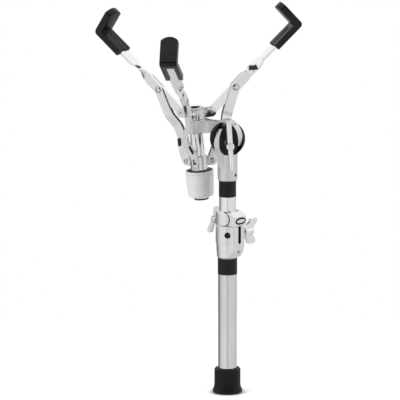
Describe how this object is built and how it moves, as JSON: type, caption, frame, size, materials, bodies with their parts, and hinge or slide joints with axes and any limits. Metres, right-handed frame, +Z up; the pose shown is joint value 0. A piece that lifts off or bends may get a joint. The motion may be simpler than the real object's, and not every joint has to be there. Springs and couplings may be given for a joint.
{
  "type": "snare drum stand",
  "caption": "Snare drum stand without legs: a chromed pole with a rubber foot, a height clamp and a ball tilter under a three-arm basket with rubber tips",
  "frame": {"origin": "on the pole axis at the bottom of the rubber foot", "axes": "Z up along the pole, -X from the pole to the basket column, Y completes a right-handed frame"},
  "size_m": [0.2881, 0.3193, 0.5846],
  "materials": {
    "foot_rubber": "satin moulded rubber",
    "tip_rubber": "matt moulded rubber",
    "bright_chrome": "bright chrome plate",
    "satin_cast": "satin chrome plate on castings",
    "plain_steel": "bright zinc plate",
    "black_band": "black satin sleeve",
    "nylon": "moulded nylon",
    "ball_plastic": "finely grained black plastic",
    "grey_plastic": "satin light grey plastic",
    "black_plastic": "moulded black plastic"
  },
  "bodies": {
    "lower_pole": {"rubber_foot": "foot_rubber", "lower_tube": "bright_chrome", "lower_band": "black_band", "height_clamp": "satin_cast", "clamp_bushing": "nylon", "clamp_stud": "plain_steel", "clamp_washer": "bright_chrome", "clamp_set_screw": "plain_steel"},
    "clamp_wing": {"clamp_wing_nut": "bright_chrome"},
    "upper_pole": {"upper_tube": "bright_chrome", "upper_band": "black_band", "memory_lock_left": "satin_cast", "memory_lock_right": "satin_cast", "memory_lock_pins": "plain_steel", "tilter_base": "satin_cast", "base_set_screw": "plain_steel"},
    "memory_wing": {"memory_lock_wing": "bright_chrome"},
    "tilter_ball": {"ball_front": "ball_plastic", "ball_back": "ball_plastic", "tilter_bolt": "plain_steel", "tilter_washer": "plain_steel"},
    "tilter_handle": {"tilter_handle": "bright_chrome"},
    "offset_arm": {"offset_arm": "satin_cast", "yoke_screws": "plain_steel", "column_set_screw": "plain_steel", "basket_column": "bright_chrome", "upper_spider": "satin_cast", "spider_nut": "plain_steel", "arm_pivot_pins": "plain_steel"},
    "lower_hub": {"lower_spider": "satin_cast", "thrust_washer": "plain_steel"},
    "knob": {"knob_cup": "grey_plastic", "knob_insert": "black_plastic", "knob_nut": "plain_steel", "knob_cap": "black_plastic"},
    "arm_left": {"basket_arm_left": "bright_chrome", "arm_tip_left": "tip_rubber", "arm_rivet_left": "bright_chrome"},
    "strut_left": {"strut_left": "bright_chrome", "strut_pin_left": "plain_steel", "strut_bumper_left": "tip_rubber"},
    "arm_front": {"basket_arm_front": "bright_chrome", "arm_tip_front": "tip_rubber", "arm_rivet_front": "bright_chrome"},
    "strut_front": {"strut_front": "bright_chrome", "strut_pin_front": "plain_steel", "strut_bumper_front": "tip_rubber"},
    "arm_right": {"basket_arm_right": "bright_chrome", "arm_tip_right": "tip_rubber", "arm_rivet_right": "bright_chrome"},
    "strut_right": {"strut_right": "bright_chrome", "strut_pin_right": "plain_steel", "strut_bumper_right": "tip_rubber"}
  },
  "joints": [
    {"name": "height_slide", "type": "slide", "parent": "lower_pole", "child": "upper_pole", "axis": [0, 0, 1], "range_m": [0, 0.12]},
    {"name": "clamp_wing_turn", "type": "hinge", "parent": "lower_pole", "child": "clamp_wing", "pos_m": [0.0195, 0.015, 0.2475], "axis": [0, 1, 0], "range_deg": [0, 360]},
    {"name": "memory_wing_turn", "type": "hinge", "parent": "upper_pole", "child": "memory_wing", "pos_m": [-0.01802, -0.00318, 0.265], "axis": [-0.9848, -0.1736, 0], "range_deg": [0, 360]},
    {"name": "tilt_side", "type": "hinge", "parent": "upper_pole", "child": "tilter_ball", "pos_m": [0, 0, 0.3927], "axis": [1, 0, 0], "range_deg": [-24, 20]},
    {"name": "handle_turn", "type": "hinge", "parent": "tilter_ball", "child": "tilter_handle", "pos_m": [0, 0, 0.3927], "axis": [0.7071, -0.7063, -0.0343], "range_deg": [0, 360]},
    {"name": "tilt_fore", "type": "hinge", "parent": "tilter_ball", "child": "offset_arm", "pos_m": [0, 0, 0.3927], "axis": [0, 0.9988, 0.0485], "range_deg": [-4, 40]},
    {"name": "hub_slide", "type": "slide", "parent": "offset_arm", "child": "lower_hub", "axis": [-0.0572, -0.0484, 0.9972], "range_m": [-0.00773, 0.00519]},
    {"name": "knob_turn", "type": "hinge", "parent": "lower_hub", "child": "knob", "pos_m": [-0.05582, 0.00472, 0.29546], "axis": [-0.0572, -0.0484, 0.9972], "range_deg": [-910, 610]},
    {"name": "arm_left_pivot", "type": "hinge", "parent": "offset_arm", "child": "arm_left", "pos_m": [-0.08855, -0.00136, 0.42065], "axis": [0, 0.9988, 0.0485], "range_deg": [-15.18, 10.17]},
    {"name": "strut_left_pivot", "type": "hinge", "parent": "arm_left", "child": "strut_left", "pos_m": [-0.13176, -0.00282, 0.45078], "axis": [0, 0.9988, 0.0485], "range_deg": [-7.24, 10.81]},
    {"name": "arm_front_pivot", "type": "hinge", "parent": "offset_arm", "child": "arm_front", "pos_m": [-0.05036, -0.02352, 0.42176], "axis": [-0.8646, -0.497, -0.0737], "range_deg": [-15.18, 10.17]},
    {"name": "strut_front_pivot", "type": "hinge", "parent": "arm_front", "child": "strut_front", "pos_m": [-0.03155, -0.06098, 0.4537], "axis": [-0.8646, -0.497, -0.0737], "range_deg": [-7.24, 10.81]},
    {"name": "arm_right_pivot", "type": "hinge", "parent": "offset_arm", "child": "arm_right", "pos_m": [-0.05036, 0.02059, 0.4239], "axis": [0.8646, -0.5018, 0.0252], "range_deg": [-15.18, 10.17]},
    {"name": "strut_right_pivot", "type": "hinge", "parent": "arm_right", "child": "strut_right", "pos_m": [-0.03155, 0.05478, 0.45932], "axis": [0.8646, -0.5018, 0.0252], "range_deg": [-7.24, 10.81]}
  ],
  "couplings": [
    {"joint": "hub_slide", "follows": "knob_turn", "m_per_rad": 0.00047746},
    {"joint": "arm_left_pivot", "follows": "knob_turn", "ratio": 0.016352},
    {"joint": "strut_left_pivot", "follows": "knob_turn", "ratio": -0.011642},
    {"joint": "arm_front_pivot", "follows": "knob_turn", "ratio": 0.016352},
    {"joint": "strut_front_pivot", "follows": "knob_turn", "ratio": -0.011642},
    {"joint": "arm_right_pivot", "follows": "knob_turn", "ratio": 0.016352},
    {"joint": "strut_right_pivot", "follows": "knob_turn", "ratio": -0.011642}
  ]
}
